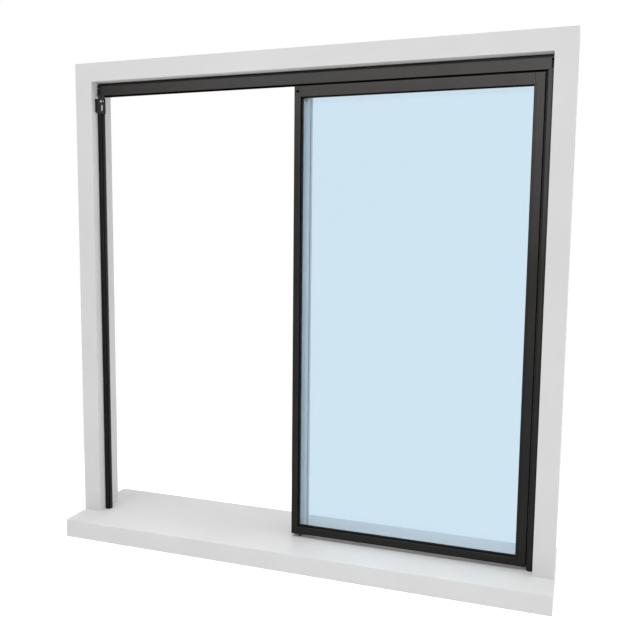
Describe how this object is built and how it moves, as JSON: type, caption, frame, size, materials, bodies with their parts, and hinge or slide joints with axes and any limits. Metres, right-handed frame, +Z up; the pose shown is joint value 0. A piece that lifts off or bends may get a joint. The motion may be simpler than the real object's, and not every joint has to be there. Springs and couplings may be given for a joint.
{
  "type": "concession window",
  "caption": "Sliding serving window: white lined wall opening with a deep counter sill, a dark slim sash hung from a header track, parked open over a fixed light.",
  "frame": {"origin": "middle of the underside of the counter sill", "axes": "+X to the right seen from the serving side, +Y through the wall away from the viewer, +Z up"},
  "size_m": [1.322, 0.285, 1.322],
  "materials": {
    "painted_board": "matt white paint",
    "dark_aluminium": "satin dark bronze coating",
    "tinted_glass": "polished, light blue",
    "clear_glass": "polished, clear",
    "black_rubber": "matt",
    "grey_rubber": "matt, pale grey",
    "pile": "woven pile",
    "steel": "zinc plated",
    "wheel_plastic": "matt"
  },
  "bodies": {
    "root": {"counter_sill": "painted_board", "left_post": "painted_board", "right_post": "painted_board", "head_board": "painted_board", "meeting_post": "painted_board", "header_track": "dark_aluminium", "left_jamb": "dark_aluminium", "right_jamb": "dark_aluminium", "strike_bracket": "dark_aluminium", "sash_left_stile": "dark_aluminium", "sash_right_stile": "dark_aluminium", "sash_top_rail": "dark_aluminium", "sash_bottom_rail": "dark_aluminium", "fixed_sill_channel": "dark_aluminium", "fixed_head_channel": "dark_aluminium", "fixed_jamb_channel": "dark_aluminium", "sash_glass": "tinted_glass", "fixed_glass": "clear_glass", "left_end_stop": "black_rubber", "right_end_stop": "black_rubber", "left_jamb_seal": "black_rubber", "right_jamb_seal": "black_rubber", "sash_outer_gasket": "black_rubber", "sash_inner_gasket": "black_rubber", "sash_setting_blocks": "black_rubber", "fixed_setting_blocks": "black_rubber", "fixed_gaskets": "grey_rubber", "meeting_seal": "pile", "left_hanger": "steel", "right_hanger": "steel", "left_hanger_wheels": "wheel_plastic", "right_hanger_wheels": "wheel_plastic", "floor_guide": "wheel_plastic"}
  },
  "joints": []
}
